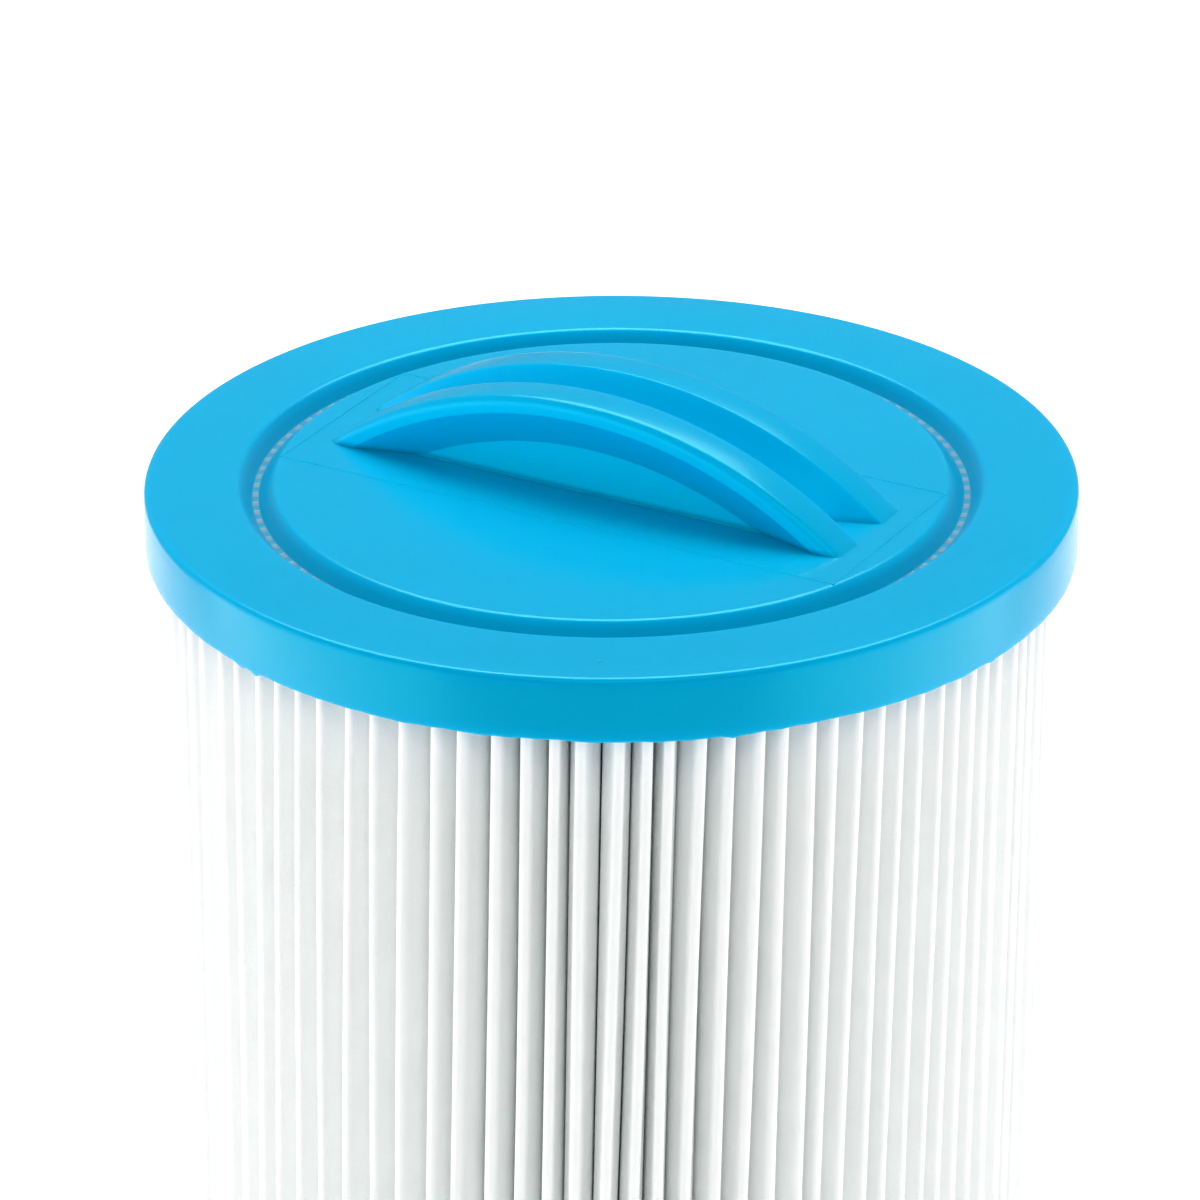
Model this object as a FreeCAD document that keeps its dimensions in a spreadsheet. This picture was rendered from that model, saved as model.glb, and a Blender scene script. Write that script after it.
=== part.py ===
import FreeCAD, Part
import Sketcher
import math
import os

from FreeCAD import Placement, Rotation, Vector

# Closed-top pleated filter cartridge for a spa. Millimetres, +Z up.
# The origin is on the cartridge's axis, in the underside of the bottom cap: the face that
# seats when the outlet is screwed home. The handle runs along X.

# Driving dimensions: alias, value, what it is.
SIZES = (
    ("cartridge_length", 206.4, "face of the bottom cap to face of the top cap"),
    ("cap_radius", 75.0, "outside of both end caps"),
    ("cap_thickness", 10.8, "side height of both end caps"),
    ("cap_edge_fillet", 1.0, "rounding of a cap's outer face edge"),
    ("cap_lip_fillet", 0.5, "rounding of a cap's edge at the pleats"),
    ("standoff_radius", 57.15, "middle of the groove left by the mould's standoff ring"),
    ("standoff_floor_width", 0.9, "width of that groove's floor"),
    ("standoff_inner_slope", 2.7, "width of the groove's sloping wall towards the axis"),
    ("standoff_outer_slope", 2.3, "width of its sloping wall towards the rim"),
    ("standoff_depth", 2.55, "depth of the groove, down to the pleat ends"),
    ("standoff_fillet", 1.3, "rounding of the groove's lips"),
    ("handle_length", 93.6, "foot to foot"),
    ("handle_rise", 16.3, "cap face to the crown of the arch"),
    ("handle_width", 21.7, "across both ribs"),
    ("handle_edge_height", 2.8, "upright edge of a rib"),
    ("handle_slope_height", 5.9, "sloping underside of a rib"),
    ("handle_undercut", 3.0, "web's setback behind a rib's edge"),
    ("handle_fillet", 1.4, "rounding along the top of a rib"),
    ("handle_lower_fillet", 0.6, "rounding along the underside of a rib's edge"),
    ("channel_width", 8.4, "between the ribs, at their tops"),
    ("channel_floor_width", 2.4, "between the ribs, at the channel's floor"),
    ("channel_depth", 4.8, "depth of the channel between the ribs"),
    ("pleat_count", 105, "pleats in the ring"),
    ("pleat_inset", 1.6, "pleat tips behind the caps' sides"),
    ("media_thickness", 0.6, "thickness of the filter cloth"),
    ("outer_fold_radius", 0.8, "middle of the cloth at a fold by the rim"),
    ("inner_fold_radius", 0.45, "middle of the cloth at a fold by the core"),
    ("media_clearance", 0.3, "inner folds to the core"),
    ("seam_depth", 5.0, "radial depth of the seam's glue film"),
    ("seam_thickness", 0.4, "thickness of the seam's glue film"),
    ("core_radius", 36.0, "outside of the core"),
    ("core_wall", 2.4, "wall of the core"),
    ("core_joint_height", 4.0, "spigot of one core section inside the next"),
    ("core_joint_clearance", 0.1, "that spigot's clearance, radial and axial"),
    ("window_columns", 16, "windows around the core"),
    ("window_rows", 5, "windows along one core section"),
    ("window_width", 10.0, "width of a core window"),
    ("window_rib", 2.5, "core rib between two windows, one above the other"),
    ("window_end_band", 8.5, "plain band at each end of a core section"),
    ("outlet_bore_radius", 19.0, "bore of the outlet"),
    ("outlet_length", 24.0, "outlet below the bottom cap"),
    ("thread_radius", 24.1, "crest of the outlet's thread"),
    ("thread_root_radius", 22.2, "root of the outlet's thread"),
    ("thread_pitch", 5.0, "advance of the thread per turn"),
    ("thread_crest_width", 1.1, "width of the thread's crest"),
    ("thread_base_width", 2.7, "width of the thread's base"),
    ("pilot_radius", 21.6, "plain tip of the outlet, ahead of the thread"),
    ("pilot_length", 4.0, "length of that tip"),
    ("thread_relief", 2.4, "plain neck between the thread and the cap"),
    ("collar_radius", 26.0, "outlet's collar in the cap's face"),
    ("flange_radius", 35.5, "outlet's flange inside the cap"),
    ("flange_inset", 2.5, "that flange's depth behind the cap's face"),
    ("flange_thickness", 3.0, "thickness of that flange"),
    ("spigot_height", 7.0, "outlet's spigot inside the core"),
    ("spigot_wall", 2.2, "wall of that spigot"),
    ("spigot_clearance", 0.2, "spigot to the core, radial"),
)
CORE_SECTIONS = ("core_bottom_section", "core_middle_section", "core_top_section")


class Size:
    """A length and the sheet expression that gives it, carried through arithmetic together."""

    def __init__(self, value, text):
        self.value = value
        self.text = text

    def _join(self, other, sign, value):
        text = other.text if isinstance(other, Size) else str(other)
        return Size(value, f"({self.text} {sign} {text})")

    def __add__(self, other):
        return self._join(other, "+", self.value + number(other))

    def __sub__(self, other):
        return self._join(other, "-", self.value - number(other))

    def __mul__(self, other):
        return self._join(other, "*", self.value * number(other))

    def __truediv__(self, other):
        return self._join(other, "/", self.value / number(other))

    def __neg__(self):
        return Size(-self.value, f"(0 - {self.text})")


def number(size):
    return size.value if isinstance(size, Size) else size


ZERO = Size(0.0, "0")


def make_sheet(doc):
    """Write the driving dimensions into the sheet and give them back by name."""
    sheet = doc.addObject("Spreadsheet::Sheet", "Sizes")
    sizes = {}
    for row, (alias, value, meaning) in enumerate(SIZES, start=1):
        sheet.set(f"A{row}", alias)
        sheet.set(f"B{row}", str(value))
        sheet.setAlias(f"B{row}", alias)
        sheet.set(f"C{row}", meaning)
        sizes[alias] = Size(value, f"Sizes.{alias}")
    doc.recompute()
    return sizes


# Sizes that follow from the driving ones.


def arch_radius(s):
    """Radius of the handle's arch, from its chord and its rise."""
    half = s["handle_length"] / 2
    return (half * half + s["handle_rise"] * s["handle_rise"]) / (s["handle_rise"] * 2)


def core_base(s):
    """Height of the core's lower end, which stands on the outlet's flange."""
    return s["flange_inset"] + s["flange_thickness"]


def groove_lips(s):
    """Inner and outer radius of the standoff groove in a cap's face."""
    half = s["standoff_floor_width"] / 2
    inner = s["standoff_radius"] - half - s["standoff_inner_slope"]
    outer = s["standoff_radius"] + half + s["standoff_outer_slope"]
    return inner, outer


def groove_outline(s, depth):
    """Corners of the standoff groove from its inner lip to its outer one; depth is signed."""
    half = s["standoff_floor_width"] / 2
    inner, outer = groove_lips(s)
    floor_start = (s["standoff_radius"] - half, depth)
    floor_end = (s["standoff_radius"] + half, depth)
    return [(inner, ZERO), floor_start, floor_end, (outer, ZERO)]


def section_length(s):
    core_top = s["cartridge_length"] - s["standoff_depth"]
    return (core_top - core_base(s)) / len(CORE_SECTIONS)


# Modelling helpers.


def new_body(doc, label, height=ZERO):
    body = doc.addObject("PartDesign::Body", label)
    body.Label = label
    body.Placement = Placement(Vector(0, 0, height.value), Rotation())
    body.setExpression("Placement.Base.z", height.text)
    return body


def new_sketch(body, name, role):
    sketch = body.newObject("Sketcher::SketchObject", name)
    plane = next(item for item in body.Origin.OriginFeatures if item.Role == role)
    sketch.AttachmentSupport = (plane, [""])
    sketch.MapMode = "FlatFace"
    return sketch


def bind(sketch, constraint, size):
    """Add a dimension to a sketch and tie it to the sheet."""
    index = sketch.addConstraint(constraint)
    sketch.renameConstraint(index, f"size{index}")
    sketch.setExpression(f"Constraints.size{index}", size.text)


def pin_point(sketch, edge, corner, x, y):
    """Hold one end of a line at x, y from the sketch's origin."""
    for kind, size, axis in (("DistanceX", x, -2), ("DistanceY", y, -1)):
        if size.value == 0:
            sketch.addConstraint(Sketcher.Constraint("PointOnObject", edge, corner, axis))
        else:
            bind(sketch, Sketcher.Constraint(kind, -1, 1, edge, corner, size.value), size)


def polygon(sketch, points):
    """Draw a closed outline through points, each a pair of Sizes."""
    corners = [Vector(x.value, y.value, 0) for x, y in points]
    first = sketch.GeometryCount
    for index, start in enumerate(corners):
        end = corners[(index + 1) % len(corners)]
        sketch.addGeometry(Part.LineSegment(start, end), False)
    for index in range(len(corners)):
        after = (index + 1) % len(corners)
        meet = Sketcher.Constraint("Coincident", first + index, 2, first + after, 1)
        sketch.addConstraint(meet)
    for index, (x, y) in enumerate(points):
        pin_point(sketch, first + index, 1, x, y)


def revolve(body, name, sketch, axis="V_Axis", kind="PartDesign::Revolution"):
    feature = body.newObject(kind, name)
    feature.Profile = sketch
    feature.ReferenceAxis = (sketch, [axis])
    feature.Angle = 360
    body.Document.recompute()
    return feature


def cut_ring(body, name, sketch, axis):
    """Turn a sketch about an axis to cut the body, and make sure that it did cut."""
    before = body.Shape.Volume
    feature = revolve(body, name, sketch, axis, "PartDesign::Groove")
    if body.Shape.Volume >= before:
        raise RuntimeError(f"{name} cuts nothing")
    return feature


def is_arc(edge, radius, place):
    """True for a round edge of this radius whose middle passes the test."""
    if not isinstance(edge.Curve, Part.Circle):
        return False
    return abs(edge.Curve.Radius - radius) < 1e-4 and place(edge.Curve.Center)


def fillet(body, name, size, wanted):
    """Round the body's arcs listed in wanted: radius and a test of the arc's centre."""
    tip = body.Tip
    edges = [
        f"Edge{index}"
        for index, edge in enumerate(tip.Shape.Edges, start=1)
        if any(is_arc(edge, radius, place) for radius, place in wanted)
    ]
    if not edges:
        raise RuntimeError(f"{name} finds no edge")
    feature = body.newObject("PartDesign::Fillet", name)
    feature.Base = (tip, edges)
    feature.Radius = size.value
    feature.setExpression("Radius", size.text)
    body.Document.recompute()
    return feature


def at_height(height):
    """Test for an arc centred at this height in its body."""
    return lambda centre: abs(centre.z - height) < 1e-4


def at_side(offset):
    """Test for an arc centred this far to either side along Y."""
    return lambda centre: abs(abs(centre.y) - offset) < 1e-4


def cut_by(doc, base, tools, label):
    """Cut base by each tool in turn; the last result is the sub-part called label."""
    for index, tool in enumerate(tools, start=1):
        cut = doc.addObject("Part::Cut", label if index == len(tools) else f"{label}_{index}")
        cut.Base = base
        cut.Tool = tool
        cut.Refine = False
        base = cut
    base.Label = label
    doc.recompute()
    return base


# Pleated cloth and its seam.


def fold_centre(radius, angle):
    return Vector(radius * math.cos(angle), radius * math.sin(angle), 0)


def flank_normal(outer, inner, spread, side):
    """Unit normal of a flank, which touches an outer and an inner fold on opposite sides.

    spread is the two folds' radii added up; side is +1 for the flank after the outer fold
    and -1 for the one before it.
    """
    line = inner - outer
    along = math.atan2(line.y, line.x)
    turn = math.acos(spread / line.Length)
    return Vector(math.cos(along + side * turn), math.sin(along + side * turn), 0)


def cloth_outline(s, face):
    """One face of the folded cloth as a closed wire: face is +1 outside and -1 inside."""
    count = int(s["pleat_count"].value)
    half_cloth = face * s["media_thickness"].value / 2
    tip = s["cap_radius"].value - s["pleat_inset"].value
    outer_fold = s["outer_fold_radius"].value
    inner_fold = s["inner_fold_radius"].value
    outer_centre = tip - s["media_thickness"].value / 2 - outer_fold
    inner_centre = inner_fold_face(s).value + s["media_thickness"].value / 2 + inner_fold
    spread = outer_fold + inner_fold
    step = 2 * math.pi / count
    edges = []
    for pleat in range(count):
        angle = pleat * step
        before = fold_centre(inner_centre, angle - step / 2)
        crest = fold_centre(outer_centre, angle)
        after = fold_centre(inner_centre, angle + step / 2)
        following = fold_centre(outer_centre, angle + step)
        rising = flank_normal(crest, before, spread, 1)
        falling = flank_normal(crest, after, spread, -1)
        next_rising = flank_normal(following, after, spread, 1)
        rim = outer_fold + half_cloth
        valley = inner_fold - half_cloth
        crest_start = crest + rising * rim
        crest_top = crest + fold_centre(rim, angle)
        crest_end = crest + falling * rim
        valley_start = after - falling * valley
        valley_floor = after - fold_centre(valley, angle + step / 2)
        valley_end = after - next_rising * valley
        next_crest = following + next_rising * rim
        edges.append(Part.Arc(crest_start, crest_top, crest_end).toShape())
        edges.append(Part.makeLine(crest_end, valley_start))
        edges.append(Part.Arc(valley_start, valley_floor, valley_end).toShape())
        edges.append(Part.makeLine(valley_end, next_crest))
    return Part.Wire(edges)


def inner_fold_face(s):
    """Radius that the inner folds reach in to."""
    return s["core_radius"] + s["media_clearance"]


def make_media(doc, s, seam):
    """The folded cloth, open at its seam. It stands on both moulds' standoff rings."""
    height = s["cartridge_length"].value - 2 * s["standoff_depth"].value
    ring = doc.addObject("Part::Feature", "pleat_ring")
    outlines = [cloth_outline(s, 1), cloth_outline(s, -1)]
    section = Part.makeFace(outlines, "Part::FaceMakerBullseye")
    ring.Shape = section.extrude(Vector(0, 0, height))
    ring.Placement = Placement(Vector(0, 0, s["standoff_depth"].value), Rotation())
    return cut_by(doc, ring, [seam], "pleated_media")


def make_seam(doc, s):
    """Glue film between the cloth's two ends, in the valley half a pleat past the Y axis."""
    seam = doc.addObject("Part::Box", "media_seam")
    seam.Label = "media_seam"
    seam.setExpression("Length", s["seam_depth"].text)
    seam.setExpression("Width", s["seam_thickness"].text)
    seam.setExpression("Height", (s["cartridge_length"] - s["standoff_depth"] * 2).text)
    count = int(s["pleat_count"].value)
    valley = math.radians(360.0 * (count // 4 + 0.5) / count)
    turn = Rotation(Vector(0, 0, 1), math.degrees(valley))
    corner = Vector(inner_fold_face(s).value, -s["seam_thickness"].value / 2, 0)
    place = turn.multVec(corner) + Vector(0, 0, s["standoff_depth"].value)
    seam.Placement = Placement(place, turn)
    return seam


# Core.


def make_core_section(doc, s, index, label):
    """Cage section: a socket below, a spigot above, and a grid of windows between them."""
    length = section_length(s)
    bottom = core_base(s) + length * index
    body = new_body(doc, label, bottom)
    outer = s["core_radius"]
    inner = outer - s["core_wall"]
    middle = outer - s["core_wall"] / 2
    gap = s["core_joint_clearance"]
    joint = s["core_joint_height"]
    outline = [(outer, ZERO), (outer, length)]
    if label == CORE_SECTIONS[-1]:
        outline.append((inner, length))
    else:
        outline.append((middle - gap, length))
        outline.append((middle - gap, length + joint))
        outline.append((inner, length + joint))
    if label == CORE_SECTIONS[0]:
        outline.append((inner, ZERO))
    else:
        outline.append((inner, joint + gap))
        outline.append((middle, joint + gap))
        outline.append((middle, ZERO))
    profile = new_sketch(body, f"{label}_profile", "XZ_Plane")
    polygon(profile, outline)
    revolve(body, f"{label}_wall", profile)
    cut_windows(body, s, label, length)
    return body


def cut_windows(body, s, label, length):
    """Cut windows straight through both sides of the core and repeat that around half a turn."""
    half_width = s["window_width"] / 2
    rows = int(s["window_rows"].value)
    grid = (length - s["window_end_band"] * 2 + s["window_rib"]) / s["window_rows"]
    column = new_sketch(body, f"{label}_windows", "XZ_Plane")
    for row in range(rows):
        low = s["window_end_band"] + grid * row
        high = low + grid - s["window_rib"]
        corners = [(-half_width, low), (half_width, low), (half_width, high), (-half_width, high)]
        polygon(column, corners)
    before = body.Shape.Volume
    pocket = body.newObject("PartDesign::Pocket", f"{label}_column")
    pocket.Profile = column
    pocket.Midplane = True
    pocket.Length = s["core_radius"].value * 4
    pocket.setExpression("Length", (s["core_radius"] * 4).text)
    body.Document.recompute()
    if body.Shape.Volume >= before:
        raise RuntimeError(f"{label} has no windows")
    around = body.newObject("PartDesign::PolarPattern", f"{label}_columns")
    around.Originals = [pocket]
    around.Axis = (next(i for i in body.Origin.OriginFeatures if i.Role == "Z_Axis"), [""])
    around.Mode = "Spacing"
    around.setExpression("Offset", f"360deg / {s['window_columns'].text}")
    around.setExpression("Occurrences", (s["window_columns"] / 2).text)
    body.Tip = around
    body.Document.recompute()


# Threaded outlet.


def make_outlet(doc, s):
    """Moulded nipple: pilot, coarse thread, collar, flange in the cap and spigot in the core."""
    body = new_body(doc, "threaded_outlet")
    bore = s["outlet_bore_radius"]
    root = s["thread_root_radius"]
    tip = -s["outlet_length"]
    spigot = s["core_radius"] - s["core_wall"] - s["spigot_clearance"]
    top = core_base(s) + s["spigot_height"]
    outline = [
        (bore, tip),
        (s["pilot_radius"], tip),
        (s["pilot_radius"], tip + s["pilot_length"]),
        (root, tip + s["pilot_length"]),
        (root, ZERO),
        (s["collar_radius"], ZERO),
        (s["collar_radius"], s["flange_inset"]),
        (s["flange_radius"], s["flange_inset"]),
        (s["flange_radius"], core_base(s)),
        (spigot, core_base(s)),
        (spigot, top),
        (spigot - s["spigot_wall"], top),
        (spigot - s["spigot_wall"], core_base(s)),
        (bore, core_base(s)),
    ]
    profile = new_sketch(body, "outlet_profile", "XZ_Plane")
    polygon(profile, outline)
    revolve(body, "outlet_wall", profile)
    add_thread(body, s)
    return body


def add_thread(body, s):
    """Right-hand thread from the pilot up to the relief under the cap."""
    root = s["thread_root_radius"] - s["thread_crest_width"] / 2
    low = -s["outlet_length"] + s["pilot_length"] + s["thread_base_width"] / 2
    run = s["outlet_length"] - s["pilot_length"] - s["thread_relief"] - s["thread_base_width"]
    base = s["thread_base_width"] / 2
    crest = s["thread_crest_width"] / 2
    section = new_sketch(body, "thread_section", "XZ_Plane")
    corners = [
        (root, low - base),
        (s["thread_root_radius"], low - base),
        (s["thread_radius"], low - crest),
        (s["thread_radius"], low + crest),
        (s["thread_root_radius"], low + base),
        (root, low + base),
    ]
    polygon(section, corners)
    thread = body.newObject("PartDesign::AdditiveHelix", "outlet_thread")
    thread.Profile = section
    thread.ReferenceAxis = (section, ["V_Axis"])
    thread.Mode = "pitch-height-angle"
    thread.Pitch = s["thread_pitch"].value
    thread.Height = run.value
    thread.setExpression("Pitch", s["thread_pitch"].text)
    thread.setExpression("Height", run.text)
    body.Tip = thread
    body.Document.recompute()


# End caps.


def make_bottom_cap(doc, s, inserts):
    """Ring cast around the outlet, the core's foot and the lower ends of the pleats."""
    body = new_body(doc, "bottom_casting")
    outline = [
        (s["collar_radius"], ZERO),
        *groove_outline(s, s["standoff_depth"]),
        (s["cap_radius"], ZERO),
        (s["cap_radius"], s["cap_thickness"]),
        (s["core_radius"], s["cap_thickness"]),
        (s["core_radius"], core_base(s)),
        (s["flange_radius"], core_base(s)),
        (s["flange_radius"], s["flange_inset"]),
        (s["collar_radius"], s["flange_inset"]),
    ]
    profile = new_sketch(body, "bottom_cap_profile", "XZ_Plane")
    polygon(profile, outline)
    revolve(body, "bottom_cap_disc", profile)
    round_cap(body, s, "bottom_cap", s["cap_thickness"].value)
    return cut_by(doc, body, inserts, "bottom_end_cap")


def round_cap(body, s, name, pleat_side):
    """Round a cap whose face is at height 0 and whose pleat side is at pleat_side."""
    face = at_height(0)
    edge = s["cap_radius"].value
    lips = [(lip.value, face) for lip in groove_lips(s)]
    fillet(body, f"{name}_lips", s["standoff_fillet"], lips)
    fillet(body, f"{name}_edge", s["cap_edge_fillet"], [(edge, face)])
    fillet(body, f"{name}_skirt", s["cap_lip_fillet"], [(edge, at_height(pleat_side))])


def make_top_cap(doc, s, inserts):
    """Disc over the pleats and the core, with the half-moon handle cast on it.

    The body's own height 0 is the cap's face.
    """
    body = new_body(doc, "top_casting", s["cartridge_length"])
    shape_handle(body, s)
    outline = [
        (ZERO, ZERO),
        *groove_outline(s, -s["standoff_depth"]),
        (s["cap_radius"], ZERO),
        (s["cap_radius"], -s["cap_thickness"]),
        (ZERO, -s["cap_thickness"]),
    ]
    profile = new_sketch(body, "top_cap_profile", "XZ_Plane")
    polygon(profile, outline)
    revolve(body, "top_cap_disc", profile)
    round_cap(body, s, "top_cap", -s["cap_thickness"].value)
    return cut_by(doc, body, inserts, "top_end_cap")


def shape_handle(body, s):
    """Arched block, undercut on both sides and channelled along its top."""
    radius = arch_radius(s)
    sketch_arch(body, s, radius)
    rise = s["handle_rise"]
    half = s["handle_width"] / 2
    web = half - s["handle_undercut"]
    beyond = half + s["handle_undercut"]
    edge_foot = rise - s["handle_edge_height"]
    web_top = edge_foot - s["handle_slope_height"]
    below = -s["cap_thickness"]
    flank = [(half, edge_foot), (beyond, edge_foot), (beyond, below), (web, below), (web, web_top)]
    undercut = arch_sketch(body, "handle_undercut", radius, rise)
    polygon(undercut, flank)
    polygon(undercut, [(-y, z) for y, z in flank])
    cut_ring(body, "handle_undercuts", undercut, "Axis0")
    mouth = s["channel_width"] / 2
    floor = s["channel_floor_width"] / 2
    above = rise + s["channel_depth"]
    bottom = rise - s["channel_depth"]
    wall = [(mouth, above), (mouth, rise), (floor, bottom)]
    channel = arch_sketch(body, "handle_channel", radius, rise)
    polygon(channel, wall + [(-y, z) for y, z in reversed(wall)])
    cut_ring(body, "handle_channel_cut", channel, "Axis0")
    side = at_side(half.value)
    lower = radius.value - s["handle_edge_height"].value
    fillet(body, "handle_shoulders", s["handle_fillet"], [(radius.value, side)])
    fillet(body, "handle_lower_edges", s["handle_lower_fillet"], [(lower, side)])


def sketch_arch(body, s, radius):
    """Pad the arch's side outline, a circle's segment on the cap's face, to the full width."""
    half = s["handle_length"].value / 2
    centre = Vector(0, s["handle_rise"].value - radius.value, 0)
    reach = math.asin(half / radius.value)
    arc = Part.ArcOfCircle(
        Part.Circle(centre, Vector(0, 0, 1), radius.value),
        math.pi / 2 - reach,
        math.pi / 2 + reach,
    )
    arch = new_sketch(body, "handle_arch", "XZ_Plane")
    arch.addGeometry(arc, False)
    arch.addGeometry(Part.LineSegment(Vector(-half, 0, 0), Vector(half, 0, 0)), False)
    arch.addConstraint(Sketcher.Constraint("Coincident", 0, 2, 1, 1))
    arch.addConstraint(Sketcher.Constraint("Coincident", 0, 1, 1, 2))
    arch.addConstraint(Sketcher.Constraint("PointOnObject", 0, 3, -2))
    arch.addConstraint(Sketcher.Constraint("PointOnObject", 1, 1, -1))
    arch.addConstraint(Sketcher.Constraint("PointOnObject", 1, 2, -1))
    bind(arch, Sketcher.Constraint("DistanceX", 1, 1, 1, 2, 2 * half), s["handle_length"])
    bind(arch, Sketcher.Constraint("Radius", 0, radius.value), radius)
    pad = body.newObject("PartDesign::Pad", "handle_block")
    pad.Profile = arch
    pad.Midplane = True
    pad.Length = s["handle_width"].value
    pad.setExpression("Length", s["handle_width"].text)
    body.Document.recompute()


def arch_sketch(body, name, radius, rise):
    """Sketch across the handle whose first line is the arch's axis."""
    sketch = new_sketch(body, name, "YZ_Plane")
    height = rise - radius
    start = Vector(radius.value, height.value, 0)
    end = Vector(radius.value * 2, height.value, 0)
    sketch.addGeometry(Part.LineSegment(start, end), True)
    pin_point(sketch, 0, 1, radius, height)
    pin_point(sketch, 0, 2, radius * 2, height)
    return sketch


def check(doc, nodes):
    """Stop on any failed feature, and on a sub-part without a sound solid."""
    for item in doc.Objects:
        if "Invalid" in item.State or "Error" in item.State:
            raise RuntimeError(f"{item.Name} failed: {item.State}")
    for node in nodes:
        if node.Shape.isNull() or not node.Shape.isValid() or node.Shape.Volume <= 0:
            raise RuntimeError(f"{node.Label} has no valid solid")


def main():
    doc = FreeCAD.newDocument("filter_cartridge")
    s = make_sheet(doc)
    seam = make_seam(doc, s)
    media = make_media(doc, s, seam)
    core = [make_core_section(doc, s, i, name) for i, name in enumerate(CORE_SECTIONS)]
    outlet = make_outlet(doc, s)
    bottom = make_bottom_cap(doc, s, [seam, media])
    top = make_top_cap(doc, s, [seam, core[-1], media])
    nodes = [top, media, seam, *core, bottom, outlet]
    doc.recompute()
    check(doc, nodes)
    os.makedirs("parts", exist_ok=True)
    for node in nodes:
        node.Shape.exportStep(os.path.join("parts", f"{node.Label}.step"))
        box = node.Shape.optimalBoundingBox()
        solids = len(node.Shape.Solids)
        print(f"{node.Label}: {solids} solid, {node.Shape.Volume / 1000:.1f} cm3, "
              f"z {box.ZMin:.2f} to {box.ZMax:.2f}")


main()
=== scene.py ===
"""Looks of a closed-top pleated spa filter cartridge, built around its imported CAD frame.

Metres, +Z up. The origin is in the underside of the bottom cap; the handle runs along X.
"""

import math
import random

import bmesh
import bpy
from mathutils import Matrix, Vector, noise


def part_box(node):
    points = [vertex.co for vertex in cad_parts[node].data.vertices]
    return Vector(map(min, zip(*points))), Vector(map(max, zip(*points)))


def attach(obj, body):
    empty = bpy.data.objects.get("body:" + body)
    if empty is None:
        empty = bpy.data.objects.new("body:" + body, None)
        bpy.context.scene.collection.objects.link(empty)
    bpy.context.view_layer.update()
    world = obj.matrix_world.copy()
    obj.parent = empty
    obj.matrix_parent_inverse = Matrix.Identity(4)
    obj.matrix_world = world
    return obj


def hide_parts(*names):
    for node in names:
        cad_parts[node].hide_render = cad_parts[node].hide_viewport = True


bl_info = {
    "name": "Pleated Filter Cartridge",
    "version": (1, 0, 0),
    "blender": (4, 5, 0),
    "location": "View3D > Sidebar > Cartridge",
    "description": "Builds a pleated spa filter cartridge around its CAD frame",
    "category": "Add Mesh",
}

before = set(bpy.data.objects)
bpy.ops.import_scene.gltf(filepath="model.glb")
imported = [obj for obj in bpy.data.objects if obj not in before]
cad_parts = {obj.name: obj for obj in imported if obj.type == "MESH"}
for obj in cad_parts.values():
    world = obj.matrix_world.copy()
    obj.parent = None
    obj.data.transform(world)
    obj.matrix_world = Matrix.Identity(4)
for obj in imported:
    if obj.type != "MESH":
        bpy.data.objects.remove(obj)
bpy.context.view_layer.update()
MM = 0.001
CAP_LOW, CAP_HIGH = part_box("top_end_cap")
CLOTH_LOW, CLOTH_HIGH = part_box("pleated_media")
SEAM_LOW, SEAM_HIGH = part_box("media_seam")
OUTLET_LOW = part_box("threaded_outlet")[0]
BASE_LOW, BASE_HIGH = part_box("bottom_end_cap")


def length(name, millimetres, description):
    """A length property, in metres, with its default given in millimetres."""
    return bpy.props.FloatProperty(
        name=name,
        description=description,
        default=millimetres * MM,
        min=0.0,
        precision=5,
        unit="LENGTH",
    )


def angle(name, degrees, description):
    return bpy.props.FloatProperty(
        name=name, description=description, default=math.radians(degrees), subtype="ANGLE"
    )


def colour(name, value, description):
    return bpy.props.FloatVectorProperty(
        name=name, description=description, default=value, size=3, min=0, max=1, subtype="COLOR"
    )


# Sizes and colours a user would change.


class CapSettings(bpy.types.PropertyGroup):
    """Both cast end caps."""

    thickness: length("Thickness", 10.8, "Side height of a cap")
    edge_round: length("Edge rounding", 1.0, "Rounding of the outer face edge")
    skirt_round: length("Skirt rounding", 0.5, "Rounding of the edge at the pleats")
    groove_inner: length("Groove inner lip", 54.0, "Radius of the groove's inner lip")
    groove_outer: length("Groove outer lip", 59.9, "Radius of the groove's outer lip")
    groove_floor: length("Groove floor", 57.15, "Radius of the middle of the groove's floor")
    groove_floor_width: length("Groove floor width", 0.9, "Width of the groove's flat floor")
    groove_depth: length("Groove depth", 2.55, "Depth down to the pleat ends")
    lip_round: length("Lip rounding", 1.3, "Rounding of the groove's lips")
    skirt_wave: length("Skirt wave", 0.3, "How far the cast edge at the pleats wanders")
    skirt_tilt: length("Skirt tilt", 0.5, "How much deeper that edge runs on one side")
    tilt_side: angle("Tilt side", 29.5, "Side on which it runs deeper")
    drip_width: length("Drip width", 0.9, "Half-width of a drip on that edge")
    segments: bpy.props.IntProperty(
        name="Segments", description="Facets around a cap", default=420, min=64, max=720
    )


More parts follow.
